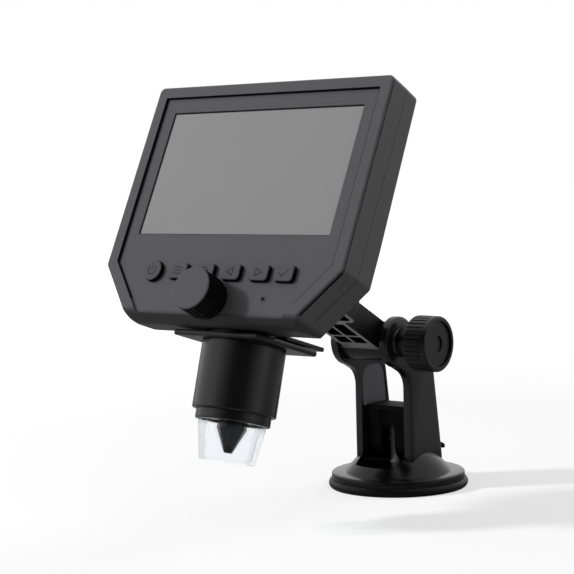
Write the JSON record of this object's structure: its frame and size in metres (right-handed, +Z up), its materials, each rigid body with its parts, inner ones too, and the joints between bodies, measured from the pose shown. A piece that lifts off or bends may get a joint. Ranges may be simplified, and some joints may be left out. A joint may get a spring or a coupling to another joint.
{
  "type": "lcd digital microscope",
  "caption": "Digital microscope with a built-in flat display, focus knob and lit lens barrel, on a tilting arm and lever-locked suction cup.",
  "frame": {"origin": "centre of the suction cup's gripping face, on the surface it holds", "axes": "+Z up, square to the gripped surface; the head and display are towards -Y; +X is the side of the clamp knob"},
  "size_m": [0.1198, 0.1716, 0.1765],
  "materials": {
    "black_abs": "fine-textured black ABS",
    "grey_abs": "fine-textured dark grey ABS",
    "satin_abs": "satin black ABS",
    "gloss_black": "gloss black plastic",
    "cup_rubber": "soft black rubber",
    "key_rubber": "silicone rubber keys",
    "clear_plastic": "clear moulded acrylic",
    "lens_glass": "coated glass",
    "screen_glass": "unlit display face",
    "steel": "zinc-plated steel",
    "brass": "turned brass",
    "nylon": "natural nylon",
    "pcb": "solder-masked circuit board",
    "lamp": "white LED package",
    "silicon": "sensor package",
    "cell": "shrink-wrapped cell"
  },
  "bodies": {
    "stand": {"suction_cup": "cup_rubber", "yoke": "black_abs", "pivot_bolt": "steel", "friction_washers": "nylon", "clamp_washer": "steel"},
    "stem": {"pull_stem": "satin_abs", "lever_pin": "steel"},
    "lever": {"suction_lever": "satin_abs"},
    "clamp": {"clamp_knob": "satin_abs", "knob_insert": "brass", "knob_cap": "satin_abs"},
    "head": {"arm": "black_abs", "rear_bracket": "black_abs", "bracket_screws": "steel", "front_shell": "grey_abs", "rear_shell": "grey_abs", "battery": "cell", "case_screws": "steel", "lcd_frame": "gloss_black", "lcd_glass": "screen_glass", "main_board": "pcb", "button_board": "pcb", "tact_switches": "steel", "usb_socket": "steel", "card_slot": "steel", "dimmer_pot": "gloss_black", "barrel_tube": "black_abs", "lamp_bezel": "satin_abs", "lamp_board": "pcb", "lamps": "lamp", "sensor_board": "pcb", "image_sensor": "silicon", "collar_plate": "black_abs", "collar_ledge": "black_abs"},
    "focus": {"focus_knob": "satin_abs", "focus_shaft": "steel", "focus_pinion": "brass"},
    "lens": {"lens_carriage": "satin_abs", "lens_nose": "satin_abs", "objective_lens": "lens_glass"},
    "cap": {"clear_cap": "clear_plastic"},
    "cover": {"battery_cover": "grey_abs"},
    "dimmer": {"dimmer_wheel": "satin_abs"},
    "power_button": {"power_button": "key_rubber"},
    "menu_button": {"menu_button": "key_rubber"},
    "photo_button": {"photo_button": "key_rubber"},
    "left_button": {"left_button": "key_rubber"},
    "right_button": {"right_button": "key_rubber"},
    "ok_button": {"ok_button": "key_rubber"}
  },
  "joints": [
    {"name": "arm_tilt", "type": "hinge", "parent": "stand", "child": "head", "pos_m": [0, -0.0178, 0.0662], "axis": [-1, 0, 0], "range_deg": [-14, 60]},
    {"name": "clamp_turn", "type": "hinge", "parent": "stand", "child": "clamp", "pos_m": [0, -0.0178, 0.0662], "axis": [1, 0, 0], "range_deg": [0, 360]},
    {"name": "lever_lift", "type": "hinge", "parent": "stem", "child": "lever", "pos_m": [0, 0, 0.021], "axis": [1, 0, 0], "range_deg": [0, 85]},
    {"name": "stem_drop", "type": "slide", "parent": "stand", "child": "stem", "axis": [0, 0, -1], "range_m": [0, 0.00236]},
    {"name": "focus_turn", "type": "hinge", "parent": "head", "child": "focus", "pos_m": [0, -0.12467, 0.09197], "axis": [0, -0.8918, 0.4524], "range_deg": [-183.2, 98.7]},
    {"name": "lens_slide", "type": "slide", "parent": "head", "child": "lens", "axis": [0, 0.284, 0.9588], "range_m": [-0.0035, 0.0065]},
    {"name": "cap_pull", "type": "slide", "parent": "head", "child": "cap", "axis": [0, -0.284, -0.9588], "range_m": [0, 0.02]},
    {"name": "cover_lift", "type": "slide", "parent": "head", "child": "cover", "axis": [0, 0.9041, -0.4274], "range_m": [0, 0.012]},
    {"name": "dimmer_turn", "type": "hinge", "parent": "head", "child": "dimmer", "pos_m": [-0.0547, -0.1115, 0.11792], "axis": [0, -0.8918, 0.4524], "range_deg": [0, 270]},
    {"name": "power_button_press", "type": "slide", "parent": "head", "child": "power_button", "axis": [0, 0.8918, -0.4524], "range_m": [0, 0.00035], "stiffness_N_per_m": 600, "springref_m": -0.001},
    {"name": "menu_button_press", "type": "slide", "parent": "head", "child": "menu_button", "axis": [0, 0.8918, -0.4524], "range_m": [0, 0.00035], "stiffness_N_per_m": 600, "springref_m": -0.001},
    {"name": "photo_button_press", "type": "slide", "parent": "head", "child": "photo_button", "axis": [0, 0.8918, -0.4524], "range_m": [0, 0.00035], "stiffness_N_per_m": 600, "springref_m": -0.001},
    {"name": "left_button_press", "type": "slide", "parent": "head", "child": "left_button", "axis": [0, 0.8918, -0.4524], "range_m": [0, 0.00035], "stiffness_N_per_m": 600, "springref_m": -0.001},
    {"name": "right_button_press", "type": "slide", "parent": "head", "child": "right_button", "axis": [0, 0.8918, -0.4524], "range_m": [0, 0.00035], "stiffness_N_per_m": 600, "springref_m": -0.001},
    {"name": "ok_button_press", "type": "slide", "parent": "head", "child": "ok_button", "axis": [0, 0.8918, -0.4524], "range_m": [0, 0.00035], "stiffness_N_per_m": 600, "springref_m": -0.001}
  ],
  "couplings": [
    {"joint": "lever_lift", "follows": "stem_drop", "rad_per_m": 628.32},
    {"joint": "focus_turn", "follows": "lens_slide", "rad_per_m": -491.79}
  ]
}
